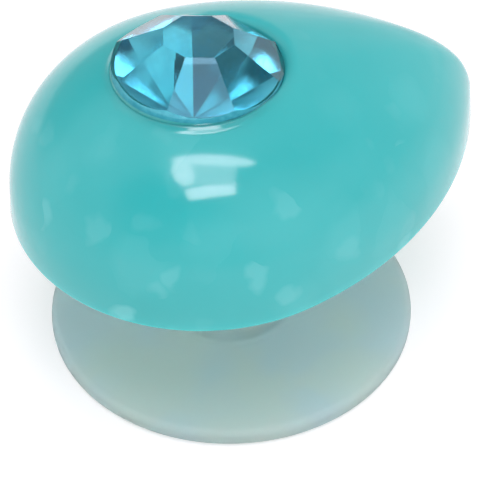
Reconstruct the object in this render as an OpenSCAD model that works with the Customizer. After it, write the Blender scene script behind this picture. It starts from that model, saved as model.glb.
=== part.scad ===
// Clog charm: a domed teardrop cabochon, set with a round faceted chaton, on a push-in button back.
// The origin is the centre of the button disc's underside. +Z is up, and +X runs along the
// cabochon's long axis towards its tip, so the XZ plane is the cabochon's mirror plane.

/* [Button back] */
// Diameter of the retaining disc
disc_d = 12; // [11:0.5:14]
// Thickness of the retaining disc
disc_t = 0.6; // [0.5:0.1:1]
// Diameter of the neck
neck_d = 4; // [3:0.1:5]
// Clear length of the neck, between the disc and the pad
neck_gap = 4.3; // [4.2:0.1:6]
// Diameter of the pad that the cabochon is glued to
pad_d = 8; // [6:0.5:10]
// Thickness of the pad
pad_t = 0.8; // [0.6:0.1:1.5]
// Radius of the fillets where the neck meets the disc and the pad
neck_fillet = 0.2; // [0.1:0.05:0.6]
// Radius of the disc's and the pad's moulded edges
edge_r = 0.24; // [0.05:0.01:0.25]

/* [Cabochon] */
// Radius of the teardrop's round end
round_r = 6.2; // [5.5:0.05:7]
// Distance from the round end's centre to the tip
tip_reach = 9.65; // [8.5:0.05:11]
// Radius of the tip
tip_r = 0.5; // [0.4:0.1:1.5]
// Radius of the two long side arcs
side_r = 11.6; // [10.5:0.1:13]
// Height of the dome above the cabochon's widest section
dome_h = 5.35; // [4.5:0.05:6]
// Fullness of the dome: 2 is an ellipse, and more gives steeper walls
dome_fullness = 2.42; // [2:0.02:2.8]
// Radius of the edge between the wall and the flat back
back_edge_r = 0.15; // [0.05:0.05:0.3]
// Distance of the neck from the round end's centre, towards the tip
neck_offset = 0.85; // [0:0.05:1.5]

/* [Chaton] */
// Diameter of the stone's girdle
girdle_d = 5.3; // [4.6:0.1:5.6]
// Width of the table across its flats
table_w = 2.18; // [1.6:0.02:2.8]
// Height of the table above the girdle
crown_h = 1.08; // [0.8:0.02:1.4]
// Thickness of the girdle at the middle of a facet
girdle_t = 0.2; // [0.1:0.05:0.3]
// Slope of the pavilion facets in degrees
pavilion_angle = 42; // [38:1:44]
// Turn of the facets about the stone's axis in degrees
stone_turn = 22; // [0:1:44]
// Number of facets round the crown, and round the pavilion
facet_count = 8; // [6:1:10]
// Thickness of the mirror foil on the pavilion
foil_t = 0.05; // [0.03:0.01:0.08]

/* [Glue] */
// Radial width of the cement ring round the girdle
ring_w = 0.15; // [0.1:0.01:0.25]
// Thickness of the cement film between the pad and the cabochon
film_t = 0.1; // [0.05:0.05:0.2]
// Diameter of that film
film_d = 7.4; // [5:0.1:7.8]

/* [Hidden] */
$fn = 96;

// Levels of the button back
disc_r = disc_d / 2;
neck_r = neck_d / 2;
pad_r = pad_d / 2;
pad_z = disc_t + neck_gap;
pad_top_z = pad_z + pad_t;
edge_steps = 6;

// Levels of the cabochon: its flat back, its widest section and the top of its dome
back_z = pad_top_z + film_t;
rim_z = back_z + back_edge_r;
apex_z = rim_z + dome_h;

// The teardrop's arcs, measured from the centre of its round end. The side arcs touch the
// round end and the tip from outside, so their centres lie at these two distances from the two.
tip_cx = tip_reach - tip_r;
to_round = side_r - round_r;
to_tip = side_r - tip_r;
side_cx = (to_round ^ 2 - to_tip ^ 2 + tip_cx ^ 2) / (2 * tip_cx);
side_cy = sqrt(to_round ^ 2 - side_cx ^ 2);
tip_angle = atan2(side_cy, tip_cx - side_cx);
round_angle = atan2(side_cy, -side_cx);
tip_steps = 4;
side_steps = 14;
round_steps = 40;
dome_rings = 18;
edge_rings = 3;

// Levels of the stone. Its girdle's middle lies a little below the dome's missing top.
girdle_r = girdle_d / 2;
girdle_sink = 0.3;
girdle_low_z = apex_z - girdle_sink - girdle_t / 2;
girdle_high_z = girdle_low_z + girdle_t;
table_z = girdle_high_z + crown_h;
crown_angle = atan2(crown_h, girdle_r - table_w / 2);
pavilion_h = girdle_r * tan(pavilion_angle);
culet_flat = 0.05;
culet_z = girdle_low_z - pavilion_h + culet_flat;
cut_size = 2 * girdle_d;

// Levels of the seat in the cabochon: a short bore above a cone
seat_r = girdle_r + ring_w;
seat_floor_r = 0.35;
seat_floor_z = culet_z - 0.25;
seat_cone_top_z = girdle_low_z - 0.35;
ring_edge_z = rim_z + dome_h * pow(1 - (seat_r / round_r) ^ 2, 1 / dome_fullness) - 0.03;
ring_girdle_z = girdle_low_z - 0.05;
foil_top_z = girdle_low_z - 0.06;
foil_r = girdle_r - 0.03;

// Points along an arc, without its last point
function arc(centre, r, from, to, steps) =
    [for (i = [0:steps - 1]) let (a = from + (to - from) * i / steps)
        centre + r * [cos(a), sin(a)]];

// The teardrop outline, counter-clockwise from the tip
function teardrop() = concat(
    arc([tip_cx, 0], tip_r, 0, tip_angle, tip_steps),
    arc([side_cx, -side_cy], side_r, tip_angle, round_angle, side_steps),
    arc([0, 0], round_r, round_angle, 360 - round_angle, round_steps),
    arc([side_cx, side_cy], side_r, 360 - round_angle, 360 - tip_angle, side_steps),
    arc([tip_cx, 0], tip_r, 360 - tip_angle, 360, tip_steps)
);

// Rings of the cabochon, each a share of the outline and a level, from the back to near the apex
function back_rings() = [for (i = [0:edge_rings - 1]) let (a = 90 * i / edge_rings)
    [1 - back_edge_r / round_r * (1 - sin(a)), rim_z - back_edge_r * cos(a)]];
function dome_levels() = [for (i = [0:dome_rings - 1]) let (a = 90 * i / dome_rings)
    [cos(a), rim_z + dome_h * pow(sin(a), 2 / dome_fullness)]];

// Solid that closes the rings with a flat bottom and a fan up to the apex
module dome() {
    outline = teardrop();
    n = len(outline);
    rings = concat(back_rings(), dome_levels());
    m = len(rings);
    points = concat(
        [for (ring = rings, p = outline) [p.x * ring[0], p.y * ring[0], ring[1]]],
        [[0, 0, apex_z]]
    );
    walls = [for (j = [0:m - 2], i = [0:n - 1]) let (k = (i + 1) % n)
        each [[j * n + i, (j + 1) * n + i, (j + 1) * n + k], [j * n + i, (j + 1) * n + k, j * n + k]]];
    fan = [for (i = [0:n - 1]) [(m - 1) * n + i, m * n, (m - 1) * n + (i + 1) % n]];
    polyhedron(points, concat([[for (i = [0:n - 1]) i]], walls, fan), convexity = 4);
}

// The seat's space: what the cabochon leaves free for the stone and its cement
module seat(top_z) {
    rotate_extrude()
        polygon([[0, seat_floor_z], [seat_floor_r, seat_floor_z], [seat_r, seat_cone_top_z],
            [seat_r, top_z], [0, top_z]]);
}

// Blocks that cut flat facets off a round blank. Each facet's plane passes through the
// girdle's radius at rim_level; side is 1 for the crown and -1 for the pavilion.
// The pavilion is turned by half a facet from the crown.
module facet_cuts(rim_level, slope, side, grow = 0) {
    half_turn = side > 0 ? 0 : 180 / facet_count;
    for (i = [0:facet_count - 1])
        rotate(stone_turn + half_turn + 360 * i / facet_count)
            translate([girdle_r, 0, rim_level])
                rotate([0, side * slope, 0])
                    translate([-cut_size, -cut_size / 2, side > 0 ? grow : -cut_size - grow])
                        cube([2 * cut_size, cut_size, cut_size]);
}

// Everything below the girdle inside the pavilion's planes, moved out by grow
module pavilion(grow, r, top_z) {
    difference() {
        translate([0, 0, culet_z - grow])
            cylinder(r = r, h = top_z - culet_z + grow);
        facet_cuts(girdle_low_z, pavilion_angle, -1, grow);
    }
}

// The stone: a round blank with the crown, the table and the pavilion cut on it
module stone() {
    difference() {
        translate([0, 0, culet_z])
            cylinder(r = girdle_r, h = table_z - culet_z);
        facet_cuts(girdle_high_z, crown_angle, 1);
        facet_cuts(girdle_low_z, pavilion_angle, -1);
    }
}

// Half section of the button back, as radius and height
module button_section() {
    quarter = edge_steps;
    polygon(concat(
        [[0, 0]],
        arc([disc_r - edge_r, edge_r], edge_r, -90, 0, quarter),
        arc([disc_r - edge_r, disc_t - edge_r], edge_r, 0, 90, quarter),
        [[disc_r - edge_r, disc_t]],
        arc([neck_r + neck_fillet, disc_t + neck_fillet], neck_fillet, 270, 180, quarter),
        arc([neck_r + neck_fillet, pad_z - neck_fillet], neck_fillet, 180, 90, quarter),
        [[neck_r + neck_fillet, pad_z]],
        arc([pad_r - edge_r, pad_z + edge_r], edge_r, -90, 0, quarter),
        arc([pad_r - edge_r, pad_top_z - edge_r], edge_r, 0, 90, quarter),
        [[pad_r - edge_r, pad_top_z], [0, pad_top_z]]
    ));
}

// Cast resin cabochon with its seat
module cabochon() {
    color([0.29, 0.74, 0.76])
        translate([-neck_offset, 0, 0])
            difference() {
                dome();
                seat(apex_z + 1);
            }
}

// Cut glass stone
module chaton() {
    color([0.35, 0.75, 0.9])
        translate([-neck_offset, 0, 0])
            stone();
}

// Mirror foil that lines the pavilion
module chaton_foil() {
    color([0.8, 0.85, 0.88])
        translate([-neck_offset, 0, 0])
            difference() {
                pavilion(foil_t, foil_r, foil_top_z);
                stone();
            }
}

// Clear cement under the stone, with a sloping ring round its girdle
module chaton_cement() {
    color([0.55, 0.8, 0.8])
        translate([-neck_offset, 0, 0])
            difference() {
                rotate_extrude()
                    polygon([[0, seat_floor_z], [seat_floor_r, seat_floor_z], [seat_r, seat_cone_top_z],
                        [seat_r, ring_edge_z], [girdle_r, ring_girdle_z], [0, ring_girdle_z]]);
                pavilion(foil_t, foil_r, foil_top_z);
                stone();
            }
}

// Soft moulded disc, neck and pad in one piece
module button_back() {
    color([0.62, 0.73, 0.73])
        rotate_extrude()
            button_section();
}

// Film of cement between the pad and the cabochon's flat back
module back_cement() {
    color([0.8, 0.85, 0.8])
        translate([0, 0, pad_top_z])
            cylinder(d = film_d, h = film_t);
}

cabochon();
chaton();
chaton_foil();
chaton_cement();
button_back();
back_cement();
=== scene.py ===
"""Clog charm: a teardrop cabochon with a faceted stone, on a push-in button back.

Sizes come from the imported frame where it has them. The rest are named here, in millimetres
except where a comment says metres.
"""

from math import atan2, cos, hypot, pi, radians, sin, sqrt, tan

import bmesh
import bpy
from mathutils import Matrix, Vector


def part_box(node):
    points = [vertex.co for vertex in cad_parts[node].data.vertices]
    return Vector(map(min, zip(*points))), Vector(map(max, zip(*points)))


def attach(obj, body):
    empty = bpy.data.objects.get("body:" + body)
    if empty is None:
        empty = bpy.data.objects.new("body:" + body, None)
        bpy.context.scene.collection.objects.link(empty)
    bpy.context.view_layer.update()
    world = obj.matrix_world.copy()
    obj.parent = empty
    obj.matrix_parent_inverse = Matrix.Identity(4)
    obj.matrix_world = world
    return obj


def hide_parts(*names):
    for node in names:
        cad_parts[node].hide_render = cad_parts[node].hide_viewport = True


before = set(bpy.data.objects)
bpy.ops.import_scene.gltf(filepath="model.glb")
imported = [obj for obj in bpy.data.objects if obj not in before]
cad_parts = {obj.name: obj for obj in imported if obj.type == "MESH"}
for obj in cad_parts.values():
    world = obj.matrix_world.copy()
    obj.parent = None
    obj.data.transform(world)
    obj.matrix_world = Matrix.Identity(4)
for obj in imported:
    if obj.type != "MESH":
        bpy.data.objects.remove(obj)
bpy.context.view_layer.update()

MM = 0.001

# ---------------------------------------------------------------- sizes read from the frame, in mm


def box_mm(node):
    """A node's lowest and highest corners in millimetres."""
    low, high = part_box(node)
    return Vector(low) / MM, Vector(high) / MM


stone_low, stone_high = box_mm("chaton")
gem_low, gem_high = box_mm("cabochon")
button_low, button_high = box_mm("button_back")
film_low, film_high = box_mm("back_cement")

STONE_X = (stone_low.x + stone_high.x) / 2
GIRDLE_R = (stone_high.x - stone_low.x) / 2
TABLE_Z = stone_high.z
ROUND_R = (gem_high.y - gem_low.y) / 2
TIP_REACH = gem_high.x - STONE_X
BACK_Z = gem_low.z
DISC_R = (button_high.x - button_low.x) / 2
PAD_TOP_Z = button_high.z
FILM_R = (film_high.x - film_low.x) / 2

# ------------------------------------------------------- sizes that the frame doesn't state, in mm

TIP_R = 0.5
SIDE_R = 11.6
DOME_H = 5.35
DOME_FULLNESS = 2.42
BACK_EDGE_R = 0.15
RIM_Z = BACK_Z + BACK_EDGE_R
APEX_Z = RIM_Z + DOME_H

TABLE_W = 2.18
CROWN_H = 1.08
GIRDLE_T = 0.2
PAVILION_ANGLE = radians(42)
STONE_TURN = radians(22)
FACETS = 8
HALF_FACET = pi / FACETS
GIRDLE_HIGH_Z = TABLE_Z - CROWN_H
GIRDLE_LOW_Z = GIRDLE_HIGH_Z - GIRDLE_T
CROWN_ANGLE = atan2(CROWN_H, GIRDLE_R - TABLE_W / 2)
CULET_Z = GIRDLE_LOW_Z - GIRDLE_R * tan(PAVILION_ANGLE)
FOIL_T = 0.05
FOIL_OVERLAP = 0.01
FOIL_TOP_Z = GIRDLE_LOW_Z - 0.06
FOIL_LOW_Z = CULET_Z - 0.1
FOIL_OUTER_R = GIRDLE_R - 0.01
FOIL_INNER_R = GIRDLE_R - 0.04

SEAT_R = GIRDLE_R + 0.03
SEAT_FLOOR_R = 0.35
SEAT_FLOOR_Z = CULET_Z - 0.2
SEAT_BORE_Z = GIRDLE_LOW_Z - 0.35
CULET_TRIM = 0.03

DISC_T = 0.6
NECK_R = 2.0
NECK_FILLET = 0.2
PAD_R = 4.0
PAD_UNDER_R = NECK_R + 0.8
PAD_T = 0.8
PAD_Z = PAD_TOP_Z - PAD_T
EDGE_R = 0.24
FILM_BULGE = 0.06
FILM_OVERLAP = 0.01

# -------------------------------------------------------------------------------------- camera

CAMERA_AZIMUTH = radians(-25.2)
CAMERA_ELEVATION = radians(43.86)
CAMERA_ROLL = radians(-1.0)
CAMERA_DISTANCE = 84.87
AIM_RIGHT = 0.33
AIM_HEIGHT = 3.375
LENS = 195


def camera_axes():
    """Level directions to the camera's right and towards the camera."""
    right = Vector((cos(CAMERA_AZIMUTH), sin(CAMERA_AZIMUTH), 0))
    return right, Vector((sin(CAMERA_AZIMUTH), -cos(CAMERA_AZIMUTH), 0))


def make_camera():
    """A long lens above the front, turned towards the round end, with a slight roll."""
    toward = Vector((
        sin(CAMERA_AZIMUTH) * cos(CAMERA_ELEVATION),
        -cos(CAMERA_AZIMUTH) * cos(CAMERA_ELEVATION),
        sin(CAMERA_ELEVATION),
    ))
    right, _ = camera_axes()
    aim = right * AIM_RIGHT + Vector((0, 0, AIM_HEIGHT))
    camera = bpy.data.objects.new("camera", bpy.data.cameras.new("camera"))
    camera.data.lens = LENS
    camera.data.clip_start = 0.005
    camera.data.clip_end = 20
    turn = toward.to_track_quat("Z", "Y").to_matrix() @ Matrix.Rotation(CAMERA_ROLL, 3, "Z")
    camera.matrix_world = Matrix.Translation((aim + toward * CAMERA_DISTANCE) * MM) @ turn.to_4x4()
    bpy.context.collection.objects.link(camera)
    bpy.context.scene.camera = camera


make_camera()

# ------------------------------------------------------------------------------- mesh helpers


def new_piece(name, verts, faces, smooth=True):
    """A mesh object from points in millimetres."""
    mesh = bpy.data.meshes.new(name)
    mesh.from_pydata([tuple(Vector(v) * MM) for v in verts], [], faces)
    mesh.validate()
    piece = bpy.data.objects.new(name, mesh)
    bpy.context.collection.objects.link(piece)
    fix_normals(mesh)
    for face in mesh.polygons:
        face.use_smooth = smooth
    return piece


def fix_normals(mesh):
    """Turns every face of a closed mesh outward."""
    work = bmesh.new()
    work.from_mesh(mesh)
    bmesh.ops.recalc_face_normals(work, faces=work.faces)
    work.to_mesh(mesh)
    work.free()


def lofted(name, rings, wrap=False):
    """A skin over rings of equally many points, capped at both ends or wrapped into a loop."""
    count = len(rings[0])
    verts = [p for ring in rings for p in ring]
    pairs = [(j, j + 1) for j in range(len(rings) - 1)]
    if wrap:
        pairs.append((len(rings) - 1, 0))
    faces = [
        (a * count + i, a * count + (i + 1) % count, b * count + (i + 1) % count, b * count + i)
        for a, b in pairs
        for i in range(count)
    ]
    if not wrap:
        faces.append(tuple(reversed(range(count))))
        faces.append(tuple(range((len(rings) - 1) * count, len(rings) * count)))
    return new_piece(name, verts, faces)


def arc(cx, cy, r, start, end, steps):
    """Points of an arc in degrees, both ends included."""
    angles = [radians(start + (end - start) * i / steps) for i in range(steps + 1)]
    return [(cx + r * cos(a), cy + r * sin(a)) for a in angles]


# ------------------------------------------------------------------------------- the cabochon

AROUND = 288
FINE = 7200
EDGE_STEPS = 6
DOME_STEPS = 64
TIP_CX = TIP_REACH - TIP_R
TO_ROUND = SIDE_R - ROUND_R
TO_TIP = SIDE_R - TIP_R
SIDE_CX = (TO_ROUND**2 - TO_TIP**2 + TIP_CX**2) / (2 * TIP_CX)
SIDE_CY = sqrt(TO_ROUND**2 - SIDE_CX**2)
TIP_ANGLE = atan2(SIDE_CY, TIP_CX - SIDE_CX)
ROUND_ANGLE = atan2(SIDE_CY, -SIDE_CX)


def edge_at(angle):
    """Distance from the stone's axis to the teardrop's outline, along a direction."""
    c, s = cos(angle), abs(sin(angle))
    tip_top = atan2(TIP_R * sin(TIP_ANGLE), TIP_CX + TIP_R * cos(TIP_ANGLE))
    direction = atan2(s, c)
    if direction >= ROUND_ANGLE:
        return ROUND_R
    if direction >= tip_top:
        return ray_to_circle(c, s, SIDE_CX, -SIDE_CY, SIDE_R)
    return ray_to_circle(c, s, TIP_CX, 0, TIP_R)


def ray_to_circle(c, s, cx, cy, r):
    """Far crossing of the ray from the origin along (c, s) with a circle."""
    along = c * cx + s * cy
    return along + sqrt(max(0, along**2 - (cx**2 + cy**2 - r**2)))


def around_angles():
    """Directions round the outline, evenly spaced along its length."""
    fine = [2 * pi * i / FINE for i in range(FINE)]
    points = [(edge_at(a) * cos(a), edge_at(a) * sin(a)) for a in fine]
    lengths = [0]
    for i in range(FINE):
        p, q = points[i], points[(i + 1) % FINE]
        lengths.append(lengths[-1] + hypot(q[0] - p[0], q[1] - p[1]))
    angles, k = [], 0
    for i in range(AROUND):
        want = lengths[-1] * i / AROUND
        while lengths[k + 1] < want:
            k += 1
        angles.append(fine[k])
    return angles


ANGLES = around_angles()


# How far the stone moves from the frame's stone, which is square and centred. It goes a little
# off centre, and leans away from the camera and down on its right. These were chosen.
STONE_SHIFT = Vector((-0.058, 0.136, -0.05))
STONE_LEAN = (radians(-3.5), radians(3.1))
CULET_SHIFT = Vector((-0.10, 0.05, 0))
SHOULDER = 0.2
SHOULDER_EASE = radians(2.5)


def setting():
    """The matrix that moves the square stone to where it sits, in millimetres."""
    pivot = Vector((STONE_X, 0, GIRDLE_LOW_Z + GIRDLE_T / 2))
    to_camera = Matrix.Rotation(CAMERA_AZIMUTH, 4, "Z")
    lean = Matrix.Rotation(STONE_LEAN[1], 4, "Y") @ Matrix.Rotation(STONE_LEAN[0], 4, "X")
    turned = to_camera @ lean @ to_camera.inverted()
    return Matrix.Translation(pivot + STONE_SHIFT) @ turned @ Matrix.Translation(-pivot)


SETTING = setting()

# The dome beside the stone: how wide its dip and its lip are, how high the lip may be, and the
# powers by which they fade outwards.
DIP_W = 0.5
DIP_FADE = 2.5
LIP_W = 0.22
LIP_H = 0.09
LIP_FADE = 1.3
SEAT_DROP = 0.03
RIDGE_EASE = radians(30)
RIDGE_SAMPLES = 8


def seat_r(angle):
    """Distance from the nominal axis to the edge of the seat, which follows the stone."""
    return SEAT_R + STONE_SHIFT.dot(Vector((cos(angle), sin(angle), 0)))


def seat_level(angle):
    """Height just under the top of the leaning girdle, along a direction."""
    way = Vector((cos(angle), sin(angle), 0)) * SEAT_R
    return (SETTING @ (Vector((STONE_X, 0, GIRDLE_HIGH_Z - SEAT_DROP)) + way)).z


def dome_z(share):
    """Height of the dome where a point lies at this share of the way to the outline."""
    return RIM_Z + DOME_H * (1 - min(1, share) ** 2) ** (1 / DOME_FULLNESS)


def share_at(angle, r):
    """Share of the way to the outline, eased so that the ridge to the tip softens inwards."""
    spread = RIDGE_EASE * max(0, 1 - r / edge_at(angle))
    near = [angle + spread * k / RIDGE_SAMPLES for k in range(-RIDGE_SAMPLES, RIDGE_SAMPLES + 1)]
    return r * sum(1 / edge_at(a) for a in near) / len(near)


def dome_at(angle, r):
    """Height of the dome at a radius from the stone's axis.

    Close to the stone it dips where the dome would hide the girdle, and rises a little where
    the girdle stands clear of it.
    """
    gap = seat_level(angle) - dome_z(share_at(angle, seat_r(angle)))
    width, lift = (LIP_W, min(gap, LIP_H)) if gap > 0 else (DIP_W, gap)
    share = min(1, max(0, 1 - (r - seat_r(angle)) / width))
    return dome_z(share_at(angle, r)) + lift * share ** (LIP_FADE if gap > 0 else DIP_FADE)


def surface_z(point):
    """Height of the dome over a point."""
    x, y = point.x - STONE_X, point.y
    return dome_at(atan2(y, x), hypot(x, y))


def gem_ring(radius_at, height_at):
    """One ring of the cabochon, from two functions of the direction."""
    return [(STONE_X + radius_at(a) * cos(a), radius_at(a) * sin(a), height_at(a)) for a in ANGLES]


def gem_rings():
    """The cabochon from its back's middle, round the wall and over the dome, into the seat."""
    rings = []
    for share in (0.25, 0.5, 0.75, 0.9):
        rings.append(gem_ring(lambda a, k=share: k * edge_at(a), lambda a: BACK_Z))
    for i in range(EDGE_STEPS + 1):
        turn = radians(90 * i / EDGE_STEPS)
        inset, level = BACK_EDGE_R * (1 - sin(turn)), RIM_Z - BACK_EDGE_R * cos(turn)
        rings.append(gem_ring(lambda a, d=inset: edge_at(a) - d, lambda a, z=level: z))
    for i in range(1, DOME_STEPS + 1):
        turn = radians(90 * i / DOME_STEPS)

        def radius(a, t=turn):
            low = seat_r(a)
            return low + (edge_at(a) - low) * max(0, 1 - sin(t)) ** 0.5

        rings.append(gem_ring(radius, lambda a, f=radius: dome_at(a, f(a))))
    rings.append(gem_ring(seat_r, lambda a: SEAT_BORE_Z))
    rings.append(gem_ring(lambda a: SEAT_FLOOR_R, lambda a: SEAT_FLOOR_Z))
    return rings


def make_cabochon():
    piece = lofted("cabochon_look", gem_rings())
    piece.data.materials.append(resin_material())
    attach(piece, "root")
    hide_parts("cabochon")


# ----------------------------------------------------------------------------------- the stone

BLANK_STEPS = 128
# A face of the stone is its girdle where its normal's height is less than this
GIRDLE_NORMAL = 0.25


def set_stone(work):
    """Moves the glass or the foil by the setting."""
    scale = Matrix.Scale(MM, 4)
    bmesh.ops.transform(work, matrix=scale @ SETTING @ scale.inverted(), verts=work.verts)


def cut_block(radius, low, high, planes):
    """A round blank cut by planes, each a point and an outward normal."""
    work = bmesh.new()
    bmesh.ops.create_cone(
        work, cap_ends=True, segments=BLANK_STEPS, radius1=radius * MM, radius2=radius * MM,
        depth=(high - low) * MM,
        matrix=Matrix.Translation(Vector((STONE_X, 0, (low + high) / 2)) * MM),
    )
    for point, normal in planes:
        everything = work.verts[:] + work.edges[:] + work.faces[:]
        cut = bmesh.ops.bisect_plane(
            work, geom=everything, dist=1e-8, plane_co=point * MM, plane_no=normal, clear_outer=True
        )
        rim = [e for e in cut["geom_cut"] if isinstance(e, bmesh.types.BMEdge)]
        bmesh.ops.edgenet_fill(work, edges=rim)
    bmesh.ops.remove_doubles(work, verts=work.verts, dist=1e-7)
    bmesh.ops.recalc_face_normals(work, faces=work.faces)
    return work


def facet_planes(level, slope, side, grow=0.0):
    """Planes of one row of facets. side is 1 for the crown and -1 for the pavilion."""
    planes = []
    turn = STONE_TURN if side > 0 else STONE_TURN + HALF_FACET
    for i in range(FACETS):
        a = turn + 2 * pi * i / FACETS
        normal = Vector((sin(slope) * cos(a), sin(slope) * sin(a), side * cos(slope)))
        rim = Vector((STONE_X + GIRDLE_R * cos(a), GIRDLE_R * sin(a), level))
        if side < 0:
            rim += CULET_SHIFT
        planes.append((rim + normal * grow, normal))
    return planes


def shoulder_planes():
    """Planes of a narrow, slightly flatter row of facets between the crown's and the table."""
    level = TABLE_Z - SHOULDER * sin(CROWN_ANGLE)
    reach = TABLE_W / 2 + SHOULDER * cos(CROWN_ANGLE)
    slope = CROWN_ANGLE - SHOULDER_EASE
    planes = []
    for i in range(FACETS):
        a = STONE_TURN + 2 * pi * i / FACETS
        normal = Vector((sin(slope) * cos(a), sin(slope) * sin(a), cos(slope)))
        planes.append((Vector((STONE_X + reach * cos(a), reach * sin(a), level)), normal))
    return planes


def piece_from(name, work):
    """A mesh object from finished work, which is freed."""
    mesh = bpy.data.meshes.new(name)
    work.to_mesh(mesh)
    work.free()
    piece = bpy.data.objects.new(name, mesh)
    bpy.context.collection.objects.link(piece)
    return piece


def make_stone():
    planes = facet_planes(GIRDLE_HIGH_Z, CROWN_ANGLE, 1)
    planes += shoulder_planes() + facet_planes(GIRDLE_LOW_Z, PAVILION_ANGLE, -1)
    work = cut_block(GIRDLE_R, CULET_Z + CULET_TRIM, TABLE_Z, planes)
    set_stone(work)
    piece = piece_from("chaton_look", work)
    piece.data.materials.append(crystal_material())
    piece.data.materials.append(girdle_material())
    for face in piece.data.polygons:
        face.material_index = int(abs(face.normal.z) < GIRDLE_NORMAL)
    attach(piece, "root")
    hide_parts("chaton")


def make_foil():
    """A thin shell on the pavilion. Its inner side lies just inside the glass."""
    outside = facet_planes(GIRDLE_LOW_Z, PAVILION_ANGLE, -1, FOIL_T)
    inside = facet_planes(GIRDLE_LOW_Z, PAVILION_ANGLE, -1, -FOIL_OVERLAP)
    outer = cut_block(FOIL_OUTER_R, FOIL_LOW_Z, FOIL_TOP_Z, outside)
    inner = cut_block(FOIL_INNER_R, FOIL_LOW_Z, FOIL_TOP_Z, inside)
    for work in (outer, inner):
        caps = [f for f in work.faces if f.normal.z > 0.99]
        bmesh.ops.delete(work, geom=caps, context="FACES_ONLY")
    bmesh.ops.reverse_faces(inner, faces=inner.faces)
    inner_side = bpy.data.meshes.new("foil_inside")
    inner.to_mesh(inner_side)
    inner.free()
    outer.from_mesh(inner_side)
    rims = [e for e in outer.edges if e.is_boundary]
    bmesh.ops.bridge_loops(outer, edges=rims)
    set_stone(outer)
    piece = piece_from("chaton_foil_look", outer)
    bpy.data.meshes.remove(inner_side)
    piece.data.materials.append(foil_material())
    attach(piece, "root")
    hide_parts("chaton_foil")


# How wide the cement shows round the stone, with a little more on the camera's side, and how
# it is shaped under there
CEMENT_W = 0.04
CEMENT_FRONT_W = 0.02
CEMENT_CLIMB = 0.02
CEMENT_STEPS = 14
CEMENT_HOLLOW = 2.6
CEMENT_SINK = 0.004
CEMENT_OVERLAP = 0.01
CEMENT_DEPTH = 0.5
CEMENT_REACH_IN = 0.2
CEMENT_BORE_GAP = 0.02


def make_stone_cement():
    """The cement runs out on the dome and climbs the leaning girdle in a hollow curve."""
    middle = Vector((STONE_X, 0, 0)) + STONE_SHIFT
    _, near = camera_axes()
    rings = [[] for _ in range(CEMENT_STEPS + 4)]
    for a in ANGLES:
        way = Vector((cos(a), sin(a), 0))
        width = CEMENT_W + CEMENT_FRONT_W * max(0, way.dot(near))
        foot = middle + way * (GIRDLE_R + width)
        foot.z = surface_z(foot) - CEMENT_SINK
        girdle = Vector((STONE_X, 0, GIRDLE_LOW_Z + CEMENT_CLIMB))
        top = SETTING @ (girdle + way * (GIRDLE_R - CEMENT_OVERLAP))
        for i in range(CEMENT_STEPS + 1):
            t = i / CEMENT_STEPS
            point = foot.lerp(top, t)
            level = surface_z(point)
            point.z = level + (foot.z - surface_z(foot)) + (top.z - surface_z(top)) * t**CEMENT_HOLLOW
            rings[i].append(point)
        inner = top - way * CEMENT_REACH_IN
        bore = middle + way * (SEAT_R - CEMENT_BORE_GAP)
        rings[-3].append(inner)
        rings[-2].append(inner - Vector((0, 0, CEMENT_DEPTH)))
        rings[-1].append(bore + Vector((0, 0, GIRDLE_LOW_Z - CEMENT_DEPTH)))
    piece = lofted("chaton_cement_look", rings, wrap=True)
    piece.data.materials.append(cement_material())
    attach(piece, "root")
    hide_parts("chaton_cement")


# ------------------------------------------------------------------------------ the button back


LATHE_STEPS = 192


def lathed(name, outline):
    """Turns radii and heights about the neck's axis. Flat caps close the first and the last."""
    turns = [2 * pi * i / LATHE_STEPS for i in range(LATHE_STEPS)]
    return lofted(name, [[(r * cos(a), r * sin(a), z) for a in turns] for r, z in outline])


def button_outline():
    quarter = 6
    line = [(DISC_R * k, 0.0) for k in (0.3, 0.6, 0.85, 0.95)]
    line += arc(DISC_R - EDGE_R, EDGE_R, EDGE_R, -90, 0, quarter)
    line += arc(DISC_R - EDGE_R, DISC_T - EDGE_R, EDGE_R, 0, 90, quarter)
    line += [(DISC_R * k, DISC_T) for k in (0.94, 0.8, 0.6, 0.45)]
    line += arc(NECK_R + NECK_FILLET, DISC_T + NECK_FILLET, NECK_FILLET, 270, 180, quarter)
    line += arc(NECK_R + NECK_FILLET, PAD_Z - NECK_FILLET, NECK_FILLET, 180, 90, quarter)
    line += [(PAD_UNDER_R, PAD_Z)]
    line += arc(PAD_R - EDGE_R, PAD_Z + EDGE_R, EDGE_R, -90, 0, quarter)
    line += arc(PAD_R - EDGE_R, PAD_TOP_Z - EDGE_R, EDGE_R, 0, 90, quarter)
    line += [(PAD_R * 0.5, PAD_TOP_Z)]
    return line


def make_button_back():
    piece = lathed("button_back_look", button_outline())
    piece.data.materials.append(soft_material())
    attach(piece, "root")
    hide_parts("button_back")


def make_back_cement():
    outline = [(FILM_R * 0.5, PAD_TOP_Z - FILM_OVERLAP)]
    outline += arc(FILM_R, (PAD_TOP_Z + BACK_Z) / 2, FILM_BULGE, -90, 90, 8)
    outline += [(FILM_R * 0.5, BACK_Z + FILM_OVERLAP)]
    piece = lathed("back_cement_look", outline)
    piece.data.materials.append(cement_material())
    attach(piece, "root")
    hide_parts("back_cement")


# ---------------------------------------------------------------------------------- materials


def fill_ramp(node, stops):
    """Sets a colour ramp's marks. A new ramp has two of them, and the rest are added."""
    marks = node.color_ramp.elements
    for i, (place, color) in enumerate(stops):
        mark = marks[i] if i < 2 else marks.new(place)
        mark.position = place
        mark.color = (*color, 1)


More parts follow.
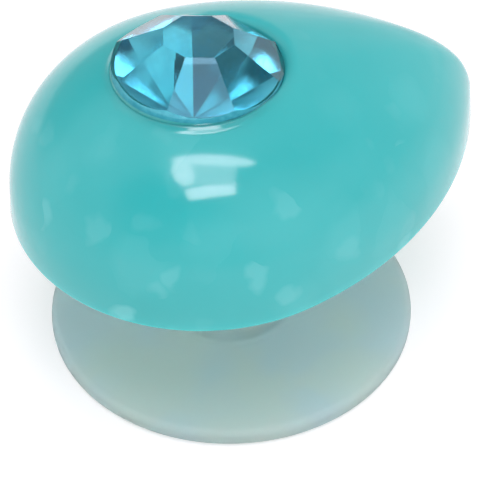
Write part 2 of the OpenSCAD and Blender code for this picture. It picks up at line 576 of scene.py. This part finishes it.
class Nodes:
    """Short calls for building one material's node tree."""

    def __init__(self, name):
        self.material = bpy.data.materials.new(name)
        self.material.use_nodes = True
        self.tree = self.material.node_tree
        self.shader = self.tree.nodes["Principled BSDF"]
        self.output = self.tree.nodes["Material Output"]

    def add(self, kind, **settings):
        node = self.tree.nodes.new(kind)
        for key, value in settings.items():
            setattr(node, key, value)
        return node

    def link(self, source, target):
        self.tree.links.new(source, target)

    def set(self, **values):
        """Sets the shader's own sockets. An underscore in a name stands for a space."""
        for key, value in values.items():
            self.shader.inputs[key.replace("_", " ")].default_value = value

    def points(self):
        """Places on the object, in millimetres."""
        coords = self.add("ShaderNodeTexCoord")
        scale = self.add("ShaderNodeVectorMath", operation="SCALE")
        scale.inputs["Scale"].default_value = 1 / MM
        self.link(coords.outputs["Object"], scale.inputs[0])
        return scale.outputs[0]

    def noise(self, vector, scale, detail, distortion=0.0):
        node = self.add("ShaderNodeTexNoise")
        node.inputs["Scale"].default_value = scale
        node.inputs["Detail"].default_value = detail
        node.inputs["Distortion"].default_value = distortion
        self.link(vector, node.inputs["Vector"])
        return node

    def ramp(self, value, stops):
        node = self.add("ShaderNodeValToRGB")
        fill_ramp(node, stops)
        self.link(value, node.inputs["Fac"])
        return node.outputs["Color"]

    def mix(self, factor, a, b):
        node = self.add("ShaderNodeMix", data_type="RGBA")
        for value, socket in ((factor, node.inputs[0]), (a, node.inputs[6]), (b, node.inputs[7])):
            if hasattr(value, "is_linked"):
                self.link(value, socket)
            elif isinstance(value, tuple):
                socket.default_value = (*value, 1)
            else:
                socket.default_value = value
        return node.outputs[2]

    def product(self, a, b):
        node = self.add("ShaderNodeMath", operation="MULTIPLY")
        self.link(a, node.inputs[0])
        self.link(b, node.inputs[1])
        return node.outputs[0]

    def flakes(self, vector, scale, edge, chosen, strength):
        """How much of a flake there is: cells cut off at a distance, some more than others."""
        cells = self.add("ShaderNodeTexVoronoi")
        cells.inputs["Scale"].default_value = scale
        self.link(vector, cells.inputs["Vector"])
        inside = self.add("ShaderNodeMapRange")
        inside.inputs["From Min"].default_value = edge[1]
        inside.inputs["From Max"].default_value = edge[0]
        self.link(cells.outputs["Distance"], inside.inputs["Value"])
        draw = self.add("ShaderNodeSeparateColor")
        self.link(cells.outputs["Color"], draw.inputs[0])
        share = self.add("ShaderNodeMapRange")
        share.inputs["From Min"].default_value = chosen[0]
        share.inputs["From Max"].default_value = chosen[1]
        share.inputs["To Max"].default_value = strength
        self.link(draw.outputs[0], share.inputs["Value"])
        return self.product(inside.outputs[0], share.outputs[0])

    def bump(self, height, strength, distance_mm):
        node = self.add("ShaderNodeBump")
        node.inputs["Strength"].default_value = strength
        node.inputs["Distance"].default_value = distance_mm * MM
        self.link(height, node.inputs["Height"])
        self.link(node.outputs["Normal"], self.shader.inputs["Normal"])


DEEP = (0.035, 0.445, 0.450)
BODY = (0.050, 0.475, 0.480)
PALE = (0.085, 0.52, 0.525)
FLECK = (0.17, 0.60, 0.61)


def resin_material():
    """Cloudy teal resin with paler flakes in it, which show best low on the dome."""
    n = Nodes("marbled resin")
    place = n.points()
    broad = n.noise(place, 0.22, 3.0, 0.6)
    base = n.ramp(broad.outputs["Fac"], [(0.3, DEEP), (0.7, BODY)])
    warp = n.noise(place, 0.8, 2.0)
    moved = n.add("ShaderNodeVectorMath", operation="MULTIPLY_ADD")
    n.link(warp.outputs["Color"], moved.inputs[0])
    moved.inputs[1].default_value = (1.3, 1.3, 1.3)
    n.link(place, moved.inputs[2])
    patch = n.flakes(moved.outputs[0], 0.5, (0.30, 0.62), (0.15, 0.9), 0.40)
    fleck = n.flakes(moved.outputs[0], 0.85, (0.24, 0.40), (0.55, 1.0), 0.85)
    height = n.add("ShaderNodeSeparateXYZ")
    n.link(place, height.inputs[0])
    settled = n.add("ShaderNodeMapRange")
    settled.inputs["From Min"].default_value = APEX_Z
    settled.inputs["From Max"].default_value = RIM_Z
    settled.inputs["To Min"].default_value = 0.08
    settled.inputs["To Max"].default_value = 0.8
    n.link(height.outputs["Z"], settled.inputs["Value"])
    fleck = n.product(fleck, settled.outputs[0])
    color = n.mix(fleck, n.mix(patch, base, PALE), FLECK)
    n.link(color, n.shader.inputs["Base Color"])
    n.set(Roughness=0.10, IOR=1.5, Subsurface_Weight=0.5, Subsurface_Scale=0.001)
    n.shader.inputs["Subsurface Radius"].default_value = (0.3, 1.2, 1.2)
    return n.material


def crystal_material():
    """Aqua glass: the colour comes from how far the light travels in it."""
    n = Nodes("aqua crystal")
    n.set(Base_Color=(1, 1, 1, 1), IOR=1.56, Transmission_Weight=1.0, Specular_Tint=(0.4, 0.8, 1, 1))
    haze = n.noise(n.points(), 3.0, 3.0)
    polish = n.add("ShaderNodeMapRange")
    polish.inputs["From Min"].default_value = 0.45
    polish.inputs["From Max"].default_value = 0.8
    polish.inputs["To Max"].default_value = 0.05
    n.link(haze.outputs["Fac"], polish.inputs["Value"])
    n.link(polish.outputs[0], n.shader.inputs["Roughness"])
    tint = n.add("ShaderNodeVolumeAbsorption")
    tint.inputs["Color"].default_value = (0.03, 0.78, 0.88, 1)
    tint.inputs["Density"].default_value = 370
    n.link(tint.outputs[0], n.output.inputs["Volume"])
    return n.material


def girdle_material():
    """The stone's edge, taken as ground and not polished, so that it scatters light."""
    n = Nodes("ground girdle")
    grain = n.noise(n.points(), 6.0, 2.0)
    tone = n.ramp(grain.outputs["Fac"], [(0.3, (0.035, 0.38, 0.50)), (0.7, (0.075, 0.50, 0.62))])
    n.link(tone, n.shader.inputs["Base Color"])
    n.set(Roughness=0.25, IOR=1.56, Transmission_Weight=0.25, Specular_Tint=(0.4, 0.8, 1, 1))
    return n.material


def foil_material():
    """Silvering, a little cloudy in patches."""
    n = Nodes("mirror foil")
    cloud = n.noise(n.points(), 1.6, 3.0, 0.5)
    silver = n.ramp(cloud.outputs["Fac"], [(0.35, (0.80, 0.86, 0.90)), (0.6, (0.95, 0.97, 0.98))])
    n.link(silver, n.shader.inputs["Base Color"])
    rough = n.add("ShaderNodeMapRange")
    rough.inputs["From Min"].default_value = 0.3
    rough.inputs["From Max"].default_value = 0.7
    rough.inputs["To Min"].default_value = 0.22
    rough.inputs["To Max"].default_value = 0.14
    n.link(cloud.outputs["Fac"], rough.inputs["Value"])
    n.link(rough.outputs[0], n.shader.inputs["Roughness"])
    n.set(Metallic=1.0)
    return n.material


def cement_material():
    """Clear cement over teal resin, with the odd cloudy streak."""
    n = Nodes("clear cement")
    streak = n.noise(n.points(), 1.2, 2.0, 0.8)
    tone = n.ramp(streak.outputs["Fac"], [(0.35, (0.030, 0.40, 0.40)), (0.7, (0.055, 0.47, 0.46))])
    n.link(tone, n.shader.inputs["Base Color"])
    n.set(Roughness=0.08, IOR=1.5, Subsurface_Weight=0.5, Subsurface_Scale=0.001)
    n.shader.inputs["Subsurface Radius"].default_value = (0.3, 1.2, 1.2)
    return n.material


def soft_material():
    """Frosted translucent plastic, with cloudy bluish patches in its greyish green."""
    n = Nodes("frosted soft plastic")
    place = n.points()
    broad = n.noise(place, 0.35, 2.0, 0.4)
    base = n.ramp(broad.outputs["Fac"], [(0.40, (0.62, 0.76, 0.72)), (0.60, (0.58, 0.74, 0.76))])
    n.link(base, n.shader.inputs["Base Color"])
    grain = n.noise(place, 14.0, 2.0)
    n.bump(grain.outputs["Fac"], 0.15, 0.01)
    n.set(Roughness=0.5, IOR=1.3, Transmission_Weight=0.7, Subsurface_Weight=1.0, Subsurface_Scale=0.002)
    n.shader.inputs["Subsurface Radius"].default_value = (0.8, 1.0, 1.0)
    return n.material


def floor_material():
    """A white table, lit from below as well as from above."""
    n = Nodes("light table")
    n.set(Base_Color=(0.6, 0.6, 0.6, 1), Roughness=0.7)
    n.set(Emission_Color=(1, 1, 1, 1), Emission_Strength=FLOOR_GLOW)
    n.shader.inputs["Specular IOR Level"].default_value = 0.2
    return n.material


# ----------------------------------------------------------------------------- floor and light

# The floor's side and the panels' height are in metres
FLOOR_SIZE = 6.0
PANEL_HEIGHT = 0.30
FLOOR_GAP = 0.02
FLOOR_GLOW = 0.5
PANEL_TINT = (1.0, 0.88, 0.97)
# Pools of light and dark round the room: degrees to the right of the camera, degrees up, half
# the width in degrees, and the radiance that each adds.
POOLS = (
    (48, 32, 36, 0.5),
    (145, 20, 45, 0.2),
    (-34, 43, 34, -0.42),
    (-80, 25, 40, 0.25),
    (-115, 55, 35, 0.3),
    (-150, 8, 38, -0.45),
)
# The room's grey levels, by how steeply a direction rises, and the least that it gives
ROOM_LEVELS = ((0.02, 1.0), (0.1, 0.8), (0.5, 0.6), (0.7, 0.4), (0.9, 0.5), (1.0, 0.9))
DARKEST = 0.02


def make_floor():
    half = FLOOR_SIZE / 2 / MM
    z = button_low.z - FLOOR_GAP
    corners = [(-half, -half, z), (half, -half, z), (half, half, z), (-half, half, z)]
    floor = new_piece("floor", corners, [(0, 1, 2, 3)], smooth=False)
    floor.data.materials.append(floor_material())


def panel(name, right_span, near_span, radiance, turn=0.0, shape="RECTANGLE"):
    """A level light panel overhead. Its spans are shares of the height it hangs at."""
    right, near = camera_axes()
    size = [(span[1] - span[0]) * PANEL_HEIGHT for span in (right_span, near_span)]
    place = right * sum(right_span) / 2 + near * sum(near_span) / 2 + Vector((0, 0, 1))
    area = size[0] * size[1] * (pi / 4 if shape == "ELLIPSE" else 1)
    data = bpy.data.lights.new(name, "AREA")
    data.shape = shape
    data.size, data.size_y = size
    data.energy = radiance * pi * area
    data.color = PANEL_TINT
    light = bpy.data.objects.new(name, data)
    bpy.context.collection.objects.link(light)
    light.matrix_world = (Matrix.Translation(place * PANEL_HEIGHT)
                          @ Matrix.Rotation(CAMERA_AZIMUTH + turn, 4, "Z"))


def make_lights():
    """A softbox overhead, towards the camera: brighter round its edge than in its middle."""
    panel("softbox_back", (-0.25, 0.42), (0.08, 0.195), 8.0, radians(-3), "ELLIPSE")
    panel("softbox_left", (-0.26, -0.08), (0.13, 0.44), 8.0, radians(8), "ELLIPSE")
    panel("softbox_middle", (-0.14, 0.27), (0.16, 0.43), 3.6)
    panel("softbox_front", (-0.17, 0.30), (0.43, 0.61), 9.3, radians(11))


def direction_to(degrees_right, degrees_up):
    """A direction from the object, by degrees to the right of the camera and degrees up."""
    right, near = camera_axes()
    turn, rise = radians(degrees_right), radians(degrees_up)
    return (right * sin(turn) + near * cos(turn)) * cos(rise) + Vector((0, 0, sin(rise)))


def make_world():
    """A room that is bright near the floor, with broad pools of light and dark on its walls."""
    world = bpy.data.worlds.new("studio")
    world.use_nodes = True
    nodes, links = world.node_tree.nodes, world.node_tree.links
    coords = nodes.new("ShaderNodeTexCoord")
    split = nodes.new("ShaderNodeSeparateXYZ")
    rise = nodes.new("ShaderNodeValToRGB")
    links.new(coords.outputs["Generated"], split.inputs[0])
    links.new(split.outputs["Z"], rise.inputs["Fac"])
    fill_ramp(rise, [(place, (level, level, level)) for place, level in ROOM_LEVELS])
    level = rise.outputs["Color"]
    for degrees_right, degrees_up, half_width, radiance in POOLS:
        facing = nodes.new("ShaderNodeVectorMath")
        facing.operation = "DOT_PRODUCT"
        facing.inputs[1].default_value = direction_to(degrees_right, degrees_up)
        links.new(coords.outputs["Generated"], facing.inputs[0])
        share = nodes.new("ShaderNodeMapRange")
        share.interpolation_type = "SMOOTHSTEP"
        share.inputs["From Min"].default_value = cos(radians(half_width))
        share.inputs["From Max"].default_value = cos(radians(half_width / 3))
        share.inputs["To Max"].default_value = radiance
        links.new(facing.outputs["Value"], share.inputs["Value"])
        total = nodes.new("ShaderNodeMath")
        links.new(level, total.inputs[0])
        links.new(share.outputs[0], total.inputs[1])
        level = total.outputs[0]
    floored = nodes.new("ShaderNodeMath")
    floored.operation = "MAXIMUM"
    links.new(level, floored.inputs[0])
    floored.inputs[1].default_value = DARKEST
    links.new(floored.outputs[0], nodes["Background"].inputs["Color"])
    bpy.context.scene.world = world
    bpy.context.scene.view_settings.view_transform = "Standard"


def allow_long_paths():
    """Light turns many times inside a foiled stone, so paths there are followed for longer."""
    cycles = bpy.context.scene.cycles
    cycles.max_bounces = 24
    cycles.glossy_bounces = 16
    cycles.transmission_bounces = 20


make_cabochon()
make_stone()
make_foil()
make_stone_cement()
make_button_back()
make_back_cement()
make_floor()
make_lights()
make_world()
allow_long_paths()
